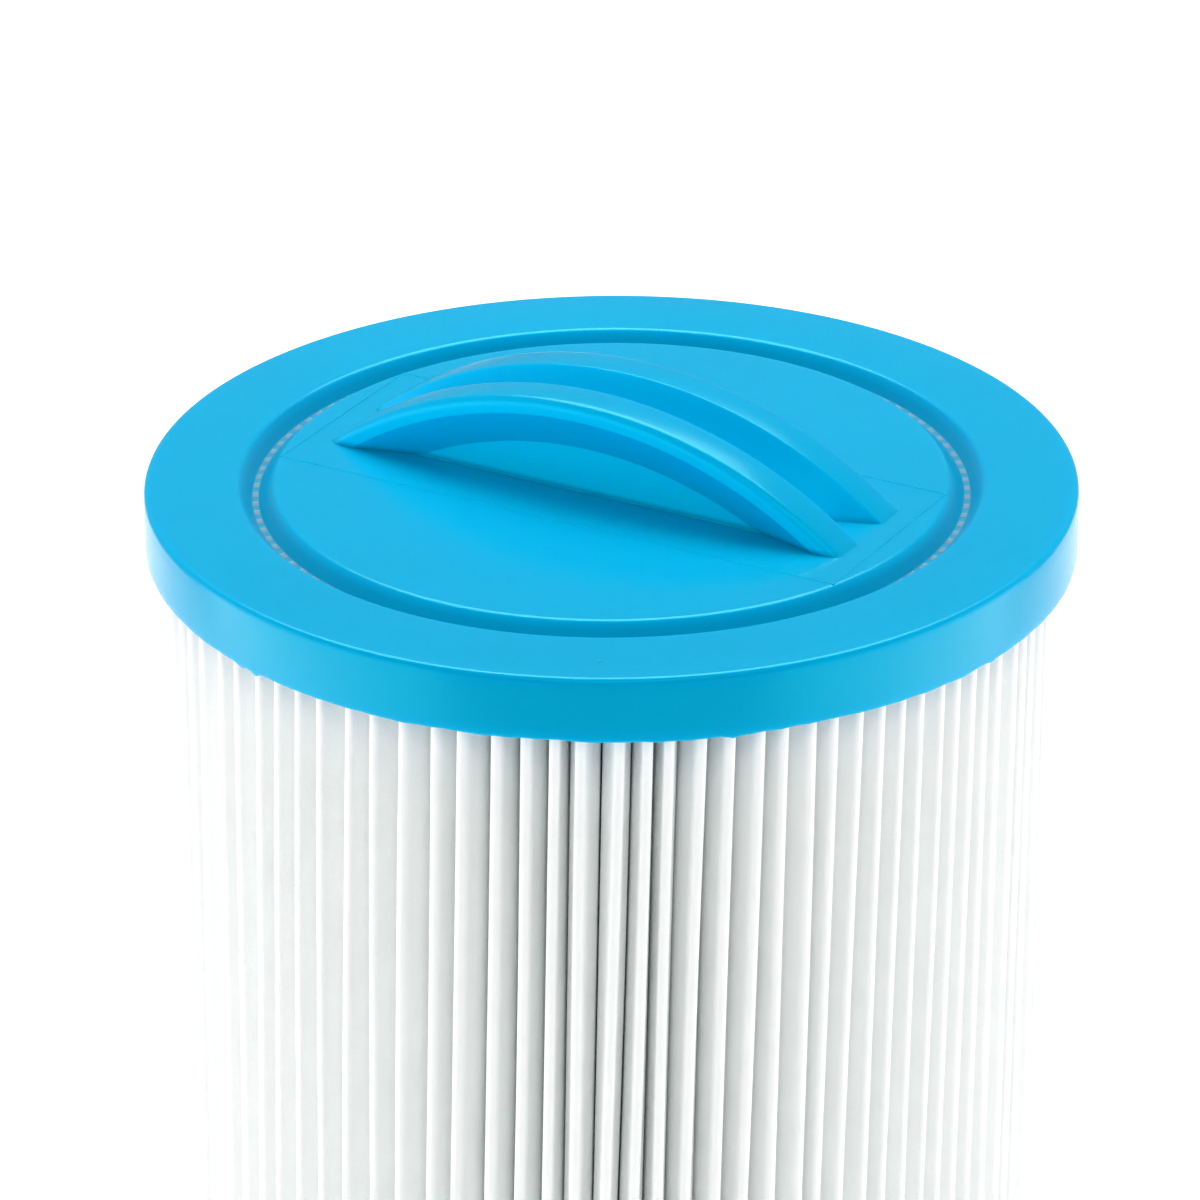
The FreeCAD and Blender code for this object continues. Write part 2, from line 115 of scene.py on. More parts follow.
class HandleSettings(bpy.types.PropertyGroup):
    """Half-moon handle cast on the top cap."""

    span: length("Length", 93.6, "Foot to foot")
    rise: length("Rise", 16.3, "Cap face to the crown")
    width: length("Width", 21.7, "Across both ribs")
    edge_height: length("Edge height", 2.8, "Upright edge of a rib")
    slope_height: length("Slope height", 5.9, "Sloping underside of a rib")
    undercut: length("Undercut", 3.0, "Web's setback behind a rib's edge")
    shoulder_round: length("Shoulder rounding", 1.4, "Rounding along the top of a rib")
    lower_round: length("Lower rounding", 0.6, "Rounding along the underside of a rib's edge")
    channel_width: length("Channel width", 8.4, "Between the ribs, at their tops")
    channel_floor: length("Channel floor", 2.4, "Between the ribs, at the channel's floor")
    channel_depth: length("Channel depth", 4.8, "Depth of the channel")
    channel_round: length("Channel rounding", 0.35, "Rounding of the channel's edges")
    stations: bpy.props.IntProperty(
        name="Stations", description="Sections along the arch", default=72, min=12, max=240
    )


class PleatSettings(bpy.types.PropertyGroup):
    """Folded cloth."""

    count: bpy.props.IntProperty(
        name="Pleats", description="Pleats in the ring", default=105, min=12, max=300
    )
    cloth: length("Cloth", 0.6, "Thickness of the cloth")
    rim_fold: length("Rim fold", 0.5, "Radius of a fold at the rim, in the middle of the cloth")
    core_fold: length("Core fold", 0.45, "Radius of a fold at the core")
    crowding: angle("Crowding", 10.3, "How far the pleats bunch up towards one side")
    crowded_side: angle("Crowded side", 30.0, "Where they stand closest")
    wander: angle("Wander", 1.3, "How far one pleat strays from its place")
    lean: angle("Lean", 4.6, "Turn of the pleats from the top cap down to the bottom one")
    flare: length("Flare", 7.0, "Depth at which a pleat has spread out to its neighbours")
    ruffle: length("Ruffle", 0.5, "How far a rim fold falls short of the rim")
    cover: length("Cover", 0.15, "Resin over the cloth's ends")
    bead: length("Glue bead", 0.45, "Radius of the glue bead in the seam's valley")
    rows: bpy.props.IntProperty(
        name="Rows", description="Mesh rows along a pleat", default=18, min=4, max=60
    )
    seed: bpy.props.IntProperty(name="Seed", description="Seed of the wander", default=7)


class OutletSettings(bpy.types.PropertyGroup):
    """Threaded outlet, where the bottom cap is cast around it."""

    collar: length("Collar radius", 26.0, "Collar in the cap's face")


class FinishSettings(bpy.types.PropertyGroup):
    """Colours."""

    cap: colour("Cap", (0.0, 0.345, 0.59), "Cast polyurethane of the end caps")
    # Painted light: a lighter cap colour for the handle's upright faces, standing in for light
    # coming through the plastic.
    upright_light: colour("Painted upright light", (0.0, 0.64, 1.0), "The same plastic where light comes through")
    cloth: colour("Cloth", (0.925, 0.94, 0.935), "Spun-bonded polyester")
    # Painted shade for the whole groove; the pits are darkened with this colour too.
    deep: colour("Groove shade and pits", (0.0, 0.05, 0.16), "The same plastic in pits and in the groove")
    ends: colour("Pleat ends", (0.2, 0.3, 0.38), "Resin-soaked pleat ends in the groove")
    glue: colour("Glue", (0.72, 0.66, 0.5), "Hot-melt glue of the seam")
    core: colour("Core", (0.83, 0.83, 0.8), "Moulded core")
    outlet: colour("Outlet", (0.84, 0.85, 0.84), "Moulded outlet")
    floor: colour("Floor", (0.92, 0.92, 0.92), "Studio floor")


class StageSettings(bpy.types.PropertyGroup):
    """Camera and light."""

    distance: length("Camera distance", 1104.2, "Camera to the middle of the top cap's face")
    azimuth: angle("Azimuth", 29.5, "Camera's place around the cartridge")
    elevation: angle("Elevation", 24.33, "Camera's height above the top cap's face")
    pitch: angle("Pitch", 25.37, "How far the camera looks down")
    yaw: angle("Yaw", -0.11, "How far it looks to the right of the axis")
    roll: angle("Roll", -0.34, "Its tilt to the side")
    lens: bpy.props.FloatProperty(
        name="Lens", description="Focal length on a 36 mm sensor", default=206.3, unit="CAMERA"
    )


SETTINGS = {
    "cartridge_caps": CapSettings,
    "cartridge_handle": HandleSettings,
    "cartridge_pleats": PleatSettings,
    "cartridge_outlet": OutletSettings,
    "cartridge_finish": FinishSettings,
    "cartridge_stage": StageSettings,
}


# Node trees written as sums.


class Field:
    """A number flowing through a node tree; arithmetic on it adds Math nodes."""

    def __init__(self, tree, socket):
        self.tree = tree
        self.socket = socket

    def math(self, operation, *others):
        node = self.tree.nodes.new("ShaderNodeMath")
        node.operation = operation
        for place, value in enumerate((self, *others)):
            feed(self.tree, value, node.inputs[place])
        return Field(self.tree, node.outputs[0])

    def __add__(self, other):
        return self.math("ADD", other)

    def __sub__(self, other):
        return self.math("SUBTRACT", other)

    def __mul__(self, other):
        return self.math("MULTIPLY", other)

    def __truediv__(self, other):
        return self.math("DIVIDE", other)

    def __radd__(self, other):
        return self * 1.0 + other

    def __rsub__(self, other):
        return self * -1.0 + other

    def __rmul__(self, other):
        return self * other

    def sin(self):
        return self.math("SINE")

    def cos(self):
        return self.math("COSINE")

    def limited(self):
        """The number held between 0 and 1."""
        return self.math("MINIMUM", 1.0).math("MAXIMUM", 0.0)


def feed(tree, value, socket):
    """Link a Field or a socket to a socket, or set the socket's own value."""
    if isinstance(value, Field):
        tree.links.new(value.socket, socket)
    elif isinstance(value, bpy.types.NodeSocket):
        tree.links.new(value, socket)
    else:
        socket.default_value = value


def add_node(tree, kind, settings=None, **inputs):
    """A node with its settings and with its inputs linked or set by name."""
    node = tree.nodes.new(kind)
    for name, value in (settings or {}).items():
        setattr(node, name, value)
    for name, value in inputs.items():
        feed(tree, value, node.inputs[name.replace("_", " ")])
    return node


def vector_of(tree, x, y, z):
    return add_node(tree, "ShaderNodeCombineXYZ", X=x, Y=y, Z=z).outputs[0]


def noise_of(tree, place, scale, detail=0.0, roughness=0.5):
    """Noise about 0, from about -1 to 1, at a place."""
    node = add_node(tree, "ShaderNodeTexNoise", {"noise_dimensions": "3D"}, Vector=place,
                    Scale=scale, Detail=detail, Roughness=roughness)
    return Field(tree, node.outputs[0]) * 2.0 - 1.0


# Meshes.


def new_object(name, vertices, faces):
    """A mesh object at the origin, its normals outward."""
    mesh = bpy.data.meshes.new(name)
    mesh.from_pydata([tuple(v) for v in vertices], [], faces)
    work = bmesh.new()
    work.from_mesh(mesh)
    bmesh.ops.remove_doubles(work, verts=work.verts, dist=1e-7)
    bmesh.ops.recalc_face_normals(work, faces=work.faces)
    work.to_mesh(mesh)
    work.free()
    made = bpy.data.objects.new(name, mesh)
    bpy.context.scene.collection.objects.link(made)
    return made


def baked(made):
    """Replace an object's mesh by what its modifiers make of it, and drop them."""
    bpy.context.view_layer.update()
    evaluated = made.evaluated_get(bpy.context.evaluated_depsgraph_get())
    mesh = bpy.data.meshes.new_from_object(evaluated)
    made.modifiers.clear()
    made.data = mesh
    return made


def modified(made, kind, **settings):
    """Give an object's mesh what one modifier makes of it."""
    modifier = made.modifiers.new(kind.title(), kind)
    for name, value in settings.items():
        setattr(modifier, name, value)
    baked(made)


def smooth(made, degrees):
    """Shade smooth, but keep edges sharper than this angle."""
    made.data.shade_smooth()
    made.data.set_sharp_from_angle(angle=math.radians(degrees))


def rounded(corners, steps=6):
    """Points of an open outline; each corner is (u, v, rounding)."""
    points = []
    for index, (u, v, radius) in enumerate(corners):
        here = Vector((u, v))
        if radius == 0:
            points.append(here)
            continue
        before = (Vector(corners[index - 1][:2]) - here).normalized()
        after = (Vector(corners[(index + 1) % len(corners)][:2]) - here).normalized()
        half = before.angle(after) / 2
        centre = here + (before + after).normalized() * (radius / math.sin(half))
        start = here + before * (radius / math.tan(half)) - centre
        turn = start.angle_signed(here + after * (radius / math.tan(half)) - centre)
        for step in range(steps + 1):
            arm = start.copy()
            arm.rotate(Matrix.Rotation(-turn * step / steps, 2))
            points.append(centre + arm)
    return points


def spun(name, outline, segments, shift=None):
    """Turn an outline of (radius, height) about Z; shift moves each point by its angle."""
    vertices = []
    for turn in range(segments):
        about = 2 * math.pi * turn / segments
        for radius, height in outline:
            if shift:
                radius, height = shift(radius, height, about)
            vertices.append((radius * math.cos(about), radius * math.sin(about), height))
    size = len(outline)
    faces = []
    for turn in range(segments):
        here, there = turn * size, (turn + 1) % segments * size
        for step in range(size):
            nxt = (step + 1) % size
            if outline[step][0] < 1e-9 and outline[nxt][0] < 1e-9:
                continue
            faces.append((here + step, there + step, there + nxt, here + nxt))
    return new_object(name, vertices, faces)


def tube(name, vertices, size, stations, closed=False):
    """A closed skin over sections of size points each, in order; closed joins its two ends."""
    faces = []
    for station in range(stations if closed else stations - 1):
        here, there = station * size, (station + 1) % stations * size
        for step in range(size):
            nxt = (step + 1) % size
            faces.append((here + step, here + nxt, there + nxt, there + step))
    if not closed:
        faces.append(tuple(range(size)))
        faces.append(tuple(range((stations - 1) * size, stations * size)))
    return new_object(name, vertices, faces)


def finish_piece(made, material, nodes):
    """Paint a piece, unless it is painted already, and let it stand for its CAD nodes."""
    if material:
        made.data.materials.clear()
        made.data.materials.append(material)
    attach(made, "root")
    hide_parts(*nodes)


# Materials.

CAP_GLOSS = 0.22


def new_material(name, base, roughness):
    """A Principled material: its tree, shader and object coordinates."""
    material = bpy.data.materials.new(name)
    material.use_nodes = True
    tree = material.node_tree
    shader = tree.nodes["Principled BSDF"]
    shader.inputs["Base Color"].default_value = (*base, 1)
    shader.inputs["Roughness"].default_value = roughness
    place = add_node(tree, "ShaderNodeTexCoord").outputs["Object"]
    return material, tree, shader, place


def bump(tree, shader, height, depth, before=None):
    """Raise the surface by a height field times a depth, in metres."""
    node = add_node(tree, "ShaderNodeBump", Height=height, Distance=depth, Strength=1.0)
    if before:
        tree.links.new(before.outputs[0], node.inputs["Normal"])
    tree.links.new(node.outputs[0], shader.inputs["Normal"])
    return node


def tinted(tree, factor, low, high):
    """Mix of two colours by a factor; the low one may be a socket."""
    node = add_node(tree, "ShaderNodeMix", {"data_type": "RGBA"})
    feed(tree, factor, node.inputs[0])
    feed(tree, low if isinstance(low, bpy.types.NodeSocket) else (*low, 1), node.inputs[6])
    node.inputs[7].default_value = (*high, 1)
    return node.outputs[2]


def pleat_ends(tree, place, caps, pleats):
    """Masks in a cap's groove: the band of pleat ends, their ridges, and the whole groove from lip
    to lip, which takes painted shade.
    """
    flat = add_node(tree, "ShaderNodeSeparateXYZ", Vector=place)
    x, y = Field(tree, flat.outputs[0]), Field(tree, flat.outputs[1])
    reach = (x * x + y * y).math("SQRT")
    off = (reach - caps.groove_floor).math("ABSOLUTE") / (caps.groove_floor_width * 0.55)
    band = (3.0 - off * 2.5).limited()
    half = (caps.groove_outer - caps.groove_inner) / 2
    middle = (caps.groove_outer + caps.groove_inner) / 2
    # Mask for the painted shade: the whole groove, from lip to lip.
    groove_shade_mask = (2.6 - (reach - middle).math("ABSOLUTE") * (2.9 / half)).limited()
    turn = y.math("ARCTAN2", x)
    wobble = noise_of(tree, place, 160.0) * 0.9
    ridges = ((turn * float(pleats.count) + wobble).cos() * 1.6 + 0.6).limited()
    return band, ridges, groove_shade_mask


def painted_upright_light(tree, place, body, lighter, thickness):
    """The body colour with painted light: lighter on the handle's upright faces, standing in for
    light coming through the plastic.
    """
    height = Field(tree, add_node(tree, "ShaderNodeSeparateXYZ", Vector=place).outputs[2])
    normal = add_node(tree, "ShaderNodeSeparateXYZ",
                      Vector=tree.nodes.new("ShaderNodeNewGeometry").outputs["Normal"])
    above = ((height - (CAP_LOW.z + thickness)) / MM).limited()
    upright = (1.15 - Field(tree, normal.outputs[2]).math("ABSOLUTE") * 1.4).limited()
    return tinted(tree, above * upright, body, lighter)


def cap_material(finish, caps, pleats):
    """Cast polyurethane: flow marks, fine haze, a few pits, and pleat ends in the groove; painted
    light on the handle's upright faces, painted shade across the groove, and the pits darkened.
    """
    material, tree, shader, place = new_material("cast_polyurethane", finish.cap, CAP_GLOSS)
    base = finish.cap
    lighter = [min(1.0, channel * 1.04) for channel in base]
    darker = [channel * 0.95 for channel in base]
    cloudy = (noise_of(tree, place, 38.0, 3.0) + 1.0) * 0.5
    cells = add_node(tree, "ShaderNodeTexVoronoi", Vector=place, Scale=62.0)
    chosen = Field(tree, add_node(tree, "ShaderNodeSeparateXYZ", Vector=cells.outputs[1]).outputs[0])
    size = (chosen - 0.72).limited() * 0.09
    pits = (1.0 - Field(tree, cells.outputs[0]) / (size + 0.0005)).limited()
    band, ridges, groove_shade_mask = pleat_ends(tree, place, caps, pleats)
    body = tinted(tree, cloudy, darker, lighter)
    # Painted light: the handle's upright faces get the lighter colour.
    body = painted_upright_light(tree, place, body, finish.upright_light, caps.thickness)
    # Painted shade across the whole groove; the pits are darkened with the same colour.
    body = tinted(tree, pits * 0.6 + groove_shade_mask * 0.22, body, finish.deep)
    body = tinted(tree, band * (1.0 - ridges * 0.75) * 0.85, body, finish.ends)
    tree.links.new(body, shader.inputs["Base Color"])
    stretched = add_node(tree, "ShaderNodeVectorMath", {"operation": "MULTIPLY"})
    feed(tree, place, stretched.inputs[0])
    stretched.inputs[1].default_value = (0.25, 1.6, 1.0)
    streaks = noise_of(tree, stretched.outputs[0], 320.0, 3.0)
    haze = noise_of(tree, place, 420.0, 4.0, 0.6)
    tree.links.new((haze * 0.035 + streaks * 0.02 + CAP_GLOSS).socket, shader.inputs["Roughness"])
    sag = bump(tree, shader, noise_of(tree, place, 24.0, 1.0), 0.00006)
    grain = bump(tree, shader, noise_of(tree, place, 900.0, 3.0) + streaks, 0.000004, sag)
    sunk = bump(tree, shader, pits * -1.0, 0.0002, grain)
    bump(tree, shader, band * ridges, 0.00008, sunk)
    shader.inputs["Specular IOR Level"].default_value = 0.4
    shader.inputs["Specular Tint"].default_value = (0.0, 1.0, 1.0, 1)
    shader.inputs["Subsurface Weight"].default_value = 0.45
    shader.inputs["Subsurface Radius"].default_value = (0.1, 0.6, 1.0)
    shader.inputs["Subsurface Scale"].default_value = 0.005
    return material


def cloth_material(finish):
    """Spun-bonded polyester: matt white, fibrous, faintly mottled."""
    material, tree, shader, place = new_material("spun_polyester", finish.cloth, 0.85)
    fibres = noise_of(tree, place, 1400.0, 4.0, 0.7)
    mottle = noise_of(tree, place, 160.0, 3.0)
    base = finish.cloth
    darker = [channel * 0.93 for channel in base]
    tree.links.new(tinted(tree, (mottle + 1.0) * 0.5, darker, base), shader.inputs["Base Color"])
    bump(tree, shader, fibres, 0.00005)
    shader.inputs["Specular IOR Level"].default_value = 0.3
    shader.inputs["Sheen Weight"].default_value = 0.15
    return material


def moulded_material(name, base, roughness):
    """Injection-moulded plastic: fine mould texture and slight sink."""
    material, tree, shader, place = new_material(name, base, roughness)
    grain = noise_of(tree, place, 700.0, 3.0)
    tree.links.new((grain * 0.05 + roughness).socket, shader.inputs["Roughness"])
    sink = bump(tree, shader, noise_of(tree, place, 60.0, 1.0), 0.00004)
    bump(tree, shader, grain, 0.000008, sink)
    darker = [channel * 0.94 for channel in base]
    cloudy = (noise_of(tree, place, 45.0, 2.0) + 1.0) * 0.5
    tree.links.new(tinted(tree, cloudy, darker, base), shader.inputs["Base Color"])
    return material


# Pleated cloth.

VALLEY_STEPS = 2
FLARE_STEPS = 4
FLANK_STEPS = FLARE_STEPS + 2
FLARED = FLARE_STEPS / FLANK_STEPS
CREST_STEPS = 6
PLEAT_STEPS = 2 * (VALLEY_STEPS + FLANK_STEPS) + CREST_STEPS
JITTER_PER_TURN = 12.0
JITTER_PER_METRE = 4.0
RUFFLE_PER_TURN = 9.0
RUFFLE_PER_METRE = 14.0
CORE_GAP = 0.3 * MM
CLOTH_SHARP = 60
BEAD_SIDES = 10
BEAD_DEPTH = 2.0
BEAD_UNEVEN = 0.25
BEAD_BLOBS_PER_METRE = 60.0


class NodeInputs:
    """Named inputs of a geometry node tree, and the values a modifier gives them."""

    def __init__(self, name):
        self.tree = bpy.data.node_groups.new(name, "GeometryNodeTree")
        self.tree.is_modifier = True
        self.values = {}
        self.tree.interface.new_socket("Geometry", in_out="OUTPUT", socket_type="NodeSocketGeometry")
        self.group = self.tree.nodes.new("NodeGroupInput")

    def add(self, name, value, kind="NodeSocketFloat"):
        """Declare an input, and give back its Field."""
        item = self.tree.interface.new_socket(name, in_out="INPUT", socket_type=kind)
        self.values[item.identifier] = value
        return Field(self.tree, self.group.outputs[name])

    def end(self, geometry):
        """Close the tree with Realize Instances and Set Material."""
        material = self.add("Material", None, "NodeSocketMaterial")
        real = add_node(self.tree, "GeometryNodeRealizeInstances", Geometry=geometry)
        painted = add_node(self.tree, "GeometryNodeSetMaterial",
                           Geometry=real.outputs[0], Material=material)
        out = self.tree.nodes.new("NodeGroupOutput")
        self.tree.links.new(painted.outputs[0], out.inputs[0])

    def build(self, name, material):
        """An object whose plain mesh is what the tree makes."""
        made = new_object(name, [(0, 0, 0)], [])
        modifier = made.modifiers.new("Nodes", "NODES")
        modifier.node_group = self.tree
        for identifier, value in self.values.items():
            modifier[identifier] = material if value is None else value
        return baked(made)


def pleat_tree(settings, seam_angle):
    """Tree that folds a flat grid of cloth into a ring of pleats, starting at its seam."""
    inputs = NodeInputs("pleated_cloth")
    tree = inputs.tree
    count = inputs.add("Pleats", float(settings.count))
    rim = inputs.add("Rim radius", CLOTH_HIGH.x - settings.cloth / 2)
    core = inputs.add("Core radius", core_reach() + settings.cloth / 2)
    rim_fold = inputs.add("Rim fold", settings.rim_fold)
    core_fold = inputs.add("Core fold", settings.core_fold)
    low = inputs.add("Bottom", CLOTH_LOW.z + settings.cover)
    tall = inputs.add("Height", CLOTH_HIGH.z - CLOTH_LOW.z - 2 * settings.cover)
    start = inputs.add("Seam angle", seam_angle)
    crowding = inputs.add("Crowding", settings.crowding)
    crowded_side = inputs.add("Crowded side", settings.crowded_side)
    wander = inputs.add("Wander", settings.wander)
    lean = inputs.add("Lean", settings.lean)
    ruffle = inputs.add("Ruffle", settings.ruffle)
    flare = inputs.add("Flare", settings.flare)
    seed = inputs.add("Seed", float(settings.seed))
    columns = settings.count * PLEAT_STEPS
    grid = add_node(tree, "GeometryNodeMeshGrid")
    for name, value in (("Size X", columns), ("Size Y", 1.0), ("Vertices X", columns + 1),
                        ("Vertices Y", settings.rows)):
        grid.inputs[name].default_value = value
    flat = add_node(tree, "ShaderNodeSeparateXYZ",
                    Vector=tree.nodes.new("GeometryNodeInputPosition").outputs[0])
    column = (Field(tree, flat.outputs[0]) + columns / 2).math("ROUND")
    up = Field(tree, flat.outputs[1]) + 0.5
    pleat = (column / PLEAT_STEPS).math("FLOOR").math("MINIMUM", count - 1.0)
    step = column - pleat * PLEAT_STEPS
    height = low + tall * up

    def turn_at(number):
        """Angle of a fold counted in pleats from the seam, with its crowding and wander."""
        even = number / count * (2 * math.pi)
        where = even + start
        bunch = crowding * (where - crowded_side).sin()
        bunch_at_seam = crowding * (start - crowded_side).sin()
        place = vector_of(tree, where.cos() * JITTER_PER_TURN, where.sin() * JITTER_PER_TURN,
                          height * JITTER_PER_METRE + seed)
        stray = noise_of(tree, place, 1.0) * wander
        return where - bunch + bunch_at_seam + stray - lean * (1.0 - up)

    second_half = step.math("GREATER_THAN", PLEAT_STEPS / 2 - 0.5)
    valley_angle = turn_at(pleat + second_half)
    crest_angle = turn_at(pleat + 0.5)
    quarter = math.pi / 2
    leaving = (step / VALLEY_STEPS).limited() * quarter
    arriving = ((step - (PLEAT_STEPS - VALLEY_STEPS)) / VALLEY_STEPS).limited() * quarter - quarter
    valley_turn = leaving + (arriving - leaving) * second_half
    crest_start = VALLEY_STEPS + FLANK_STEPS
    crest_turn = ((step - crest_start) / CREST_STEPS).limited() * math.pi - quarter
    rise = ((step - VALLEY_STEPS) / FLANK_STEPS).limited()
    fall = ((step - (crest_start + CREST_STEPS)) / FLANK_STEPS).limited()
    inward = 1.0 - (rise - fall)
    flaring = (inward / FLARED).limited()
    deeper = ((inward - FLARED) / (1 - FLARED)).limited()
    flare_share = flare / (rim - core)
    share = 1.0 - flare_share * flaring - (1.0 - flare_share) * deeper
    spread = (flaring * math.pi).cos() * 0.5 + 0.5
    ring = vector_of(tree, crest_angle.cos() * RUFFLE_PER_TURN,
                     crest_angle.sin() * RUFFLE_PER_TURN, height * RUFFLE_PER_METRE + seed)
    shortfall = (noise_of(tree, ring, 1.0) + 1.0) * 0.5 * ruffle
    crest_out = rim - rim_fold - shortfall + rim_fold * crest_turn.cos()
    crest_side = rim_fold * crest_turn.sin()
    valley_out = core + core_fold - core_fold * valley_turn.cos()
    valley_side = core_fold * valley_turn.sin()

    out = valley_out + (crest_out - valley_out) * share
    about = valley_angle + (crest_angle - valley_angle) * spread
    side = valley_side + (crest_side - valley_side) * spread
    place = vector_of(tree, about.cos() * out - about.sin() * side,
                      about.sin() * out + about.cos() * side, height)
    folded = add_node(tree, "GeometryNodeSetPosition", Geometry=grid.outputs[0], Position=place)
    inputs.end(folded.outputs[0])
    return inputs


def core_reach():
    """Radius of the inner folds: just outside the core."""
    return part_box("core_middle_section")[1].x + CORE_GAP


def seam_angle():
    """Place of the seam around the ring."""
    middle = (SEAM_LOW + SEAM_HIGH) / 2
    return math.atan2(middle.y, middle.x)


def glue_bead(cloth, settings, finish):
    """A bead of glue along the valley where the cloth's two ends meet."""
    ends = [cloth.data.vertices[row].co.copy() for row in range(settings.rows)]
    vertices = []
    for end in ends:
        outward = Vector((end.x, end.y, 0)).normalized()
        across = Vector((-outward.y, outward.x, 0))
        swell = settings.bead * (1 + BEAD_UNEVEN * noise.noise(end * BEAD_BLOBS_PER_METRE))
        middle = end + outward * (settings.bead + settings.cloth / 2)
        for side in range(BEAD_SIDES):
            turn = 2 * math.pi * side / BEAD_SIDES
            arm = outward * (BEAD_DEPTH * math.cos(turn)) + across * math.sin(turn)
            vertices.append(middle + arm * swell)
    bead = tube("seam_bead", vertices, BEAD_SIDES, len(ends))
    smooth(bead, CLOTH_SHARP)
    material = moulded_material("seam_glue", finish.glue, 0.35)
    finish_piece(bead, material, ["media_seam"])


class CARTRIDGE_OT_pleats(bpy.types.Operator):
    """Fold the cloth into its ring of pleats"""

    bl_idname = "cartridge.pleats"
    bl_label = "Pleated Cloth"

    def execute(self, context):
        settings = context.scene.cartridge_pleats
        material = cloth_material(context.scene.cartridge_finish)
        cloth = pleat_tree(settings, seam_angle()).build("pleated_cloth", material)
        glue_bead(cloth, settings, context.scene.cartridge_finish)
        modified(cloth, "SOLIDIFY", thickness=settings.cloth, offset=0.0, use_rim=True)
        smooth(cloth, CLOTH_SHARP)
        finish_piece(cloth, None, ["pleated_media"])
        return {"FINISHED"}


# End caps.

LONG_DRIP = (math.radians(-108), 0.6 * MM)
STEADY_DEPTH = 0.25
SLOW_WAVES = 2.5
QUICK_WAVES = 22.0
SIDE_RINGS = (0.3, 0.55, 0.8)
CAP_SHARP = 32
RECESS = 2.5 * MM
HANDLE_SUNK = 3 * MM
RIDGE_SPACING = 2.5 * MM
RIDGE_SUNK = 0.3 * MM


def groove_corners(caps, face, into):
    """Corners of the standoff groove from its inner lip outwards; into is -1 or +1 along Z."""
    floor = face + into * caps.groove_depth
    half = caps.groove_floor_width / 2
    return [
        (caps.groove_inner, face, caps.lip_round),
        (caps.groove_floor - half, floor, caps.lip_round / 4),
        (caps.groove_floor + half, floor, caps.lip_round / 4),
        (caps.groove_outer, face, caps.lip_round),
    ]


def skirt_shift(caps, face, into, seed):
    """Wander of the cast edge at the pleats, which grows along the side from the face."""
    chance = random.Random(seed)
    drips = [LONG_DRIP]
    drips += [(chance.uniform(-2.0, 3.0), chance.uniform(0.2, 0.5) * MM) for drip in range(4)]

    def shift(radius, height, about):
        depth = (height - face) / (into * caps.thickness)
        if radius < caps.groove_outer or depth < STEADY_DEPTH:
            return radius, height
        weight = ((depth - STEADY_DEPTH) / (1 - STEADY_DEPTH)) ** 2
        ring = Vector((math.cos(about), math.sin(about), 0))
        slow = noise.noise(ring * SLOW_WAVES + Vector((0, 0, seed)))
        quick = noise.noise(ring * QUICK_WAVES + Vector((0, 0, seed + 5)))
        drop = caps.skirt_wave * (slow * 1.2 + quick * 0.8)
        drop += caps.skirt_tilt * math.cos(about - caps.tilt_side)
        for place, deep in drips:
            gap = math.remainder(about - place, 2 * math.pi) * radius / caps.drip_width
            drop += deep * math.exp(-gap * gap)
        return radius, height + into * weight * drop

    return shift


def handle_section(handle, radius):
    """Cross-section of the handle as (across, out from the arch's axis), web foot to web foot."""
    half = handle.width / 2
    web = half - handle.undercut
    edge = radius - handle.edge_height
    under = edge - handle.slope_height
    mouth = handle.channel_width / 2
    floor = handle.channel_floor / 2
    foot = radius - handle.rise - 5 * MM
    side = [
        (web, foot, 0),
        (web, under, 0.4 * MM),
        (half, edge, handle.lower_round),
        (half, radius, handle.shoulder_round),
        (mouth, radius, handle.channel_round),
        (floor, radius - handle.channel_depth, 0.3 * MM),
    ]
    mirrored = [(-across, out, turn) for across, out, turn in reversed(side)]
    return rounded(side + mirrored, 4)


def build_handle(handle, face):
    """Sweep the section along the arch, and cut it off just under the cap's face."""
    half = handle.span / 2
    radius = (half * half + handle.rise**2) / (2 * handle.rise)
    section = handle_section(handle, radius)
    centre = face + handle.rise - radius
    reach = math.acos((radius - handle.rise - HANDLE_SUNK) / radius) + math.radians(3)
    vertices = []
    for station in range(handle.stations + 1):
        tilt = reach * (2 * station / handle.stations - 1)
        for across, out in section:
            vertices.append((out * math.sin(tilt), across, centre + out * math.cos(tilt)))
    made = tube("handle", vertices, len(section), handle.stations + 1)
    trim_below(made, face - HANDLE_SUNK)
    return made


def trim_below(made, height):
    """Cut a closed mesh off at a height and close the cut."""
    work = bmesh.new()
    work.from_mesh(made.data)
    cut = bmesh.ops.bisect_plane(work, geom=work.verts[:] + work.edges[:] + work.faces[:],
                                 plane_co=(0, 0, height), plane_no=(0, 0, 1), clear_inner=True)
    rim = [item for item in cut["geom_cut"] if isinstance(item, bmesh.types.BMEdge)]
    bmesh.ops.edgeloop_fill(work, edges=rim)
    bmesh.ops.recalc_face_normals(work, faces=work.faces)
    work.to_mesh(made.data)
    work.free()


def ridge(name, corners, closed, width, height, face):
    """A low, uneven ridge along straight lines on a cap's face, sunk a little into it."""
    points = []
    for index in range(len(corners) if closed else len(corners) - 1):
        start, end = Vector(corners[index]), Vector(corners[(index + 1) % len(corners)])
        steps = max(1, round((end - start).length / RIDGE_SPACING))
        points += [start.lerp(end, step / steps) for step in range(steps)]
    if not closed:
        points.append(Vector(corners[-1]))
    vertices = []
    for index, point in enumerate(points):
        before = points[index - 1] if closed or index else point
        after = points[(index + 1) % len(points)] if closed or index + 1 < len(points) else point
        along = (after - before).normalized()
        side = Vector((-along.y, along.x))
        uneven = 1 + 0.5 * noise.noise(Vector((point.x, point.y, 0)) * 300.0)
        crest = height * uneven
        for share, top in ((-0.5, -RIDGE_SUNK), (-0.25, crest), (0.25, crest), (0.5, -RIDGE_SUNK)):
            spot = point + side * (share * width * uneven)
            vertices.append((spot.x, spot.y, face + top))
    return tube(name, vertices, 4, len(points), closed)


